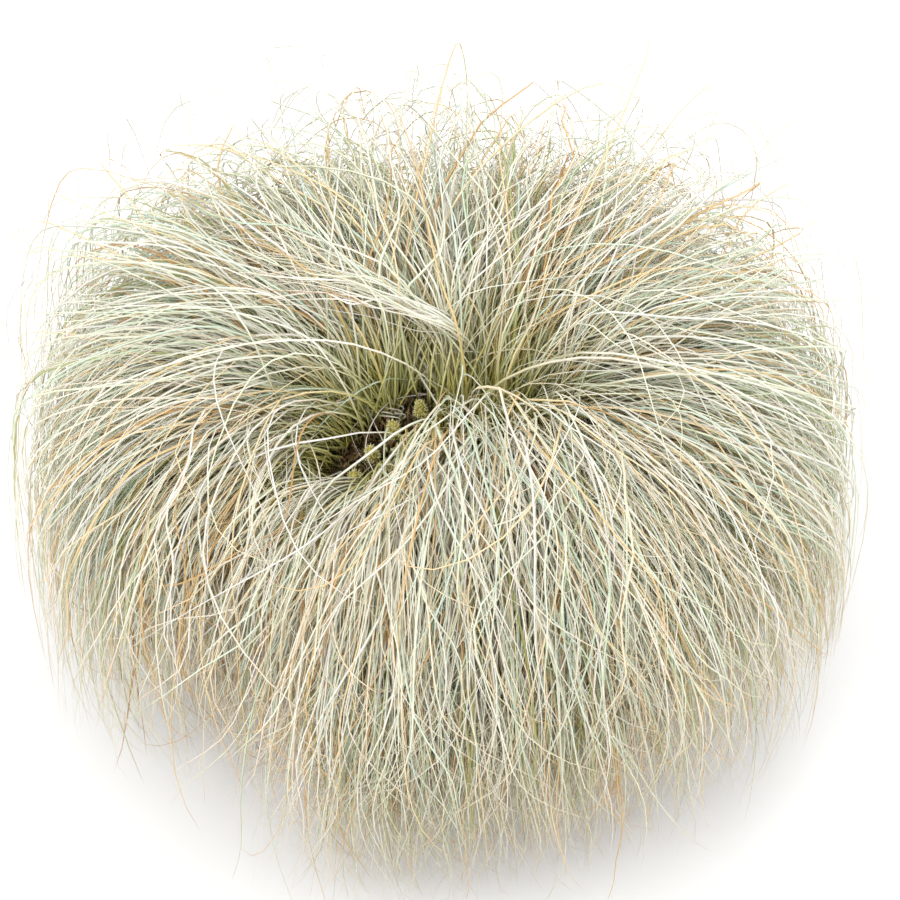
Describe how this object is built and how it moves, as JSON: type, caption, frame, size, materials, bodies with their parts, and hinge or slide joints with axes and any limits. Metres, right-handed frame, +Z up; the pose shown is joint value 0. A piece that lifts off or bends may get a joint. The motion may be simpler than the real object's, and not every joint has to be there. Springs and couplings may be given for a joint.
{
  "type": "potted sedge",
  "caption": "Hair sedge in a plain round clay pot: a mop of hair-fine pale leaves that arch out of a parted crown and hang round the pot, for a patio or a border.",
  "frame": {"origin": "middle of the pot's flat underside, where it stands", "axes": "+Z up, -Y towards the side that the picture shows, +X to that viewer's right; the crown is parted towards -X, -Y"},
  "size_m": [0.5065, 0.4893, 0.2989],
  "materials": {
    "clay": "matte",
    "soil": "matte",
    "crown": "matte",
    "leaves": "matte",
    "flower": "matte"
  },
  "bodies": {
    "root": {"flower_spike_1": "flower", "flower_spike_2": "flower", "flower_spike_3": "flower", "flower_spike_4": "flower", "heart_leaf_tuft_01": "leaves", "heart_leaf_tuft_02": "leaves", "heart_leaf_tuft_03": "leaves", "heart_leaf_tuft_04": "leaves", "heart_leaf_tuft_05": "leaves", "heart_leaf_tuft_06": "leaves", "heart_leaf_tuft_07": "leaves", "heart_leaf_tuft_08": "leaves", "lower_leaf_tuft_01": "leaves", "lower_leaf_tuft_02": "leaves", "lower_leaf_tuft_03": "leaves", "lower_leaf_tuft_04": "leaves", "lower_leaf_tuft_05": "leaves", "lower_leaf_tuft_06": "leaves", "lower_leaf_tuft_07": "leaves", "lower_leaf_tuft_08": "leaves", "lower_leaf_tuft_09": "leaves", "lower_leaf_tuft_10": "leaves", "lower_leaf_tuft_11": "leaves", "pot": "clay", "potting_soil": "soil", "root_crown": "crown", "skirt_leaf_tuft_01": "leaves", "skirt_leaf_tuft_02": "leaves", "skirt_leaf_tuft_03": "leaves", "skirt_leaf_tuft_04": "leaves", "skirt_leaf_tuft_05": "leaves", "skirt_leaf_tuft_06": "leaves", "skirt_leaf_tuft_07": "leaves", "skirt_leaf_tuft_08": "leaves", "skirt_leaf_tuft_09": "leaves", "skirt_leaf_tuft_10": "leaves", "skirt_leaf_tuft_11": "leaves", "skirt_leaf_tuft_12": "leaves", "skirt_leaf_tuft_13": "leaves", "upper_leaf_tuft_01": "leaves", "upper_leaf_tuft_02": "leaves", "upper_leaf_tuft_03": "leaves", "upper_leaf_tuft_04": "leaves", "upper_leaf_tuft_05": "leaves", "upper_leaf_tuft_06": "leaves", "upper_leaf_tuft_07": "leaves", "upper_leaf_tuft_08": "leaves", "upper_leaf_tuft_09": "leaves", "upper_leaf_tuft_10": "leaves"}
  },
  "joints": []
}
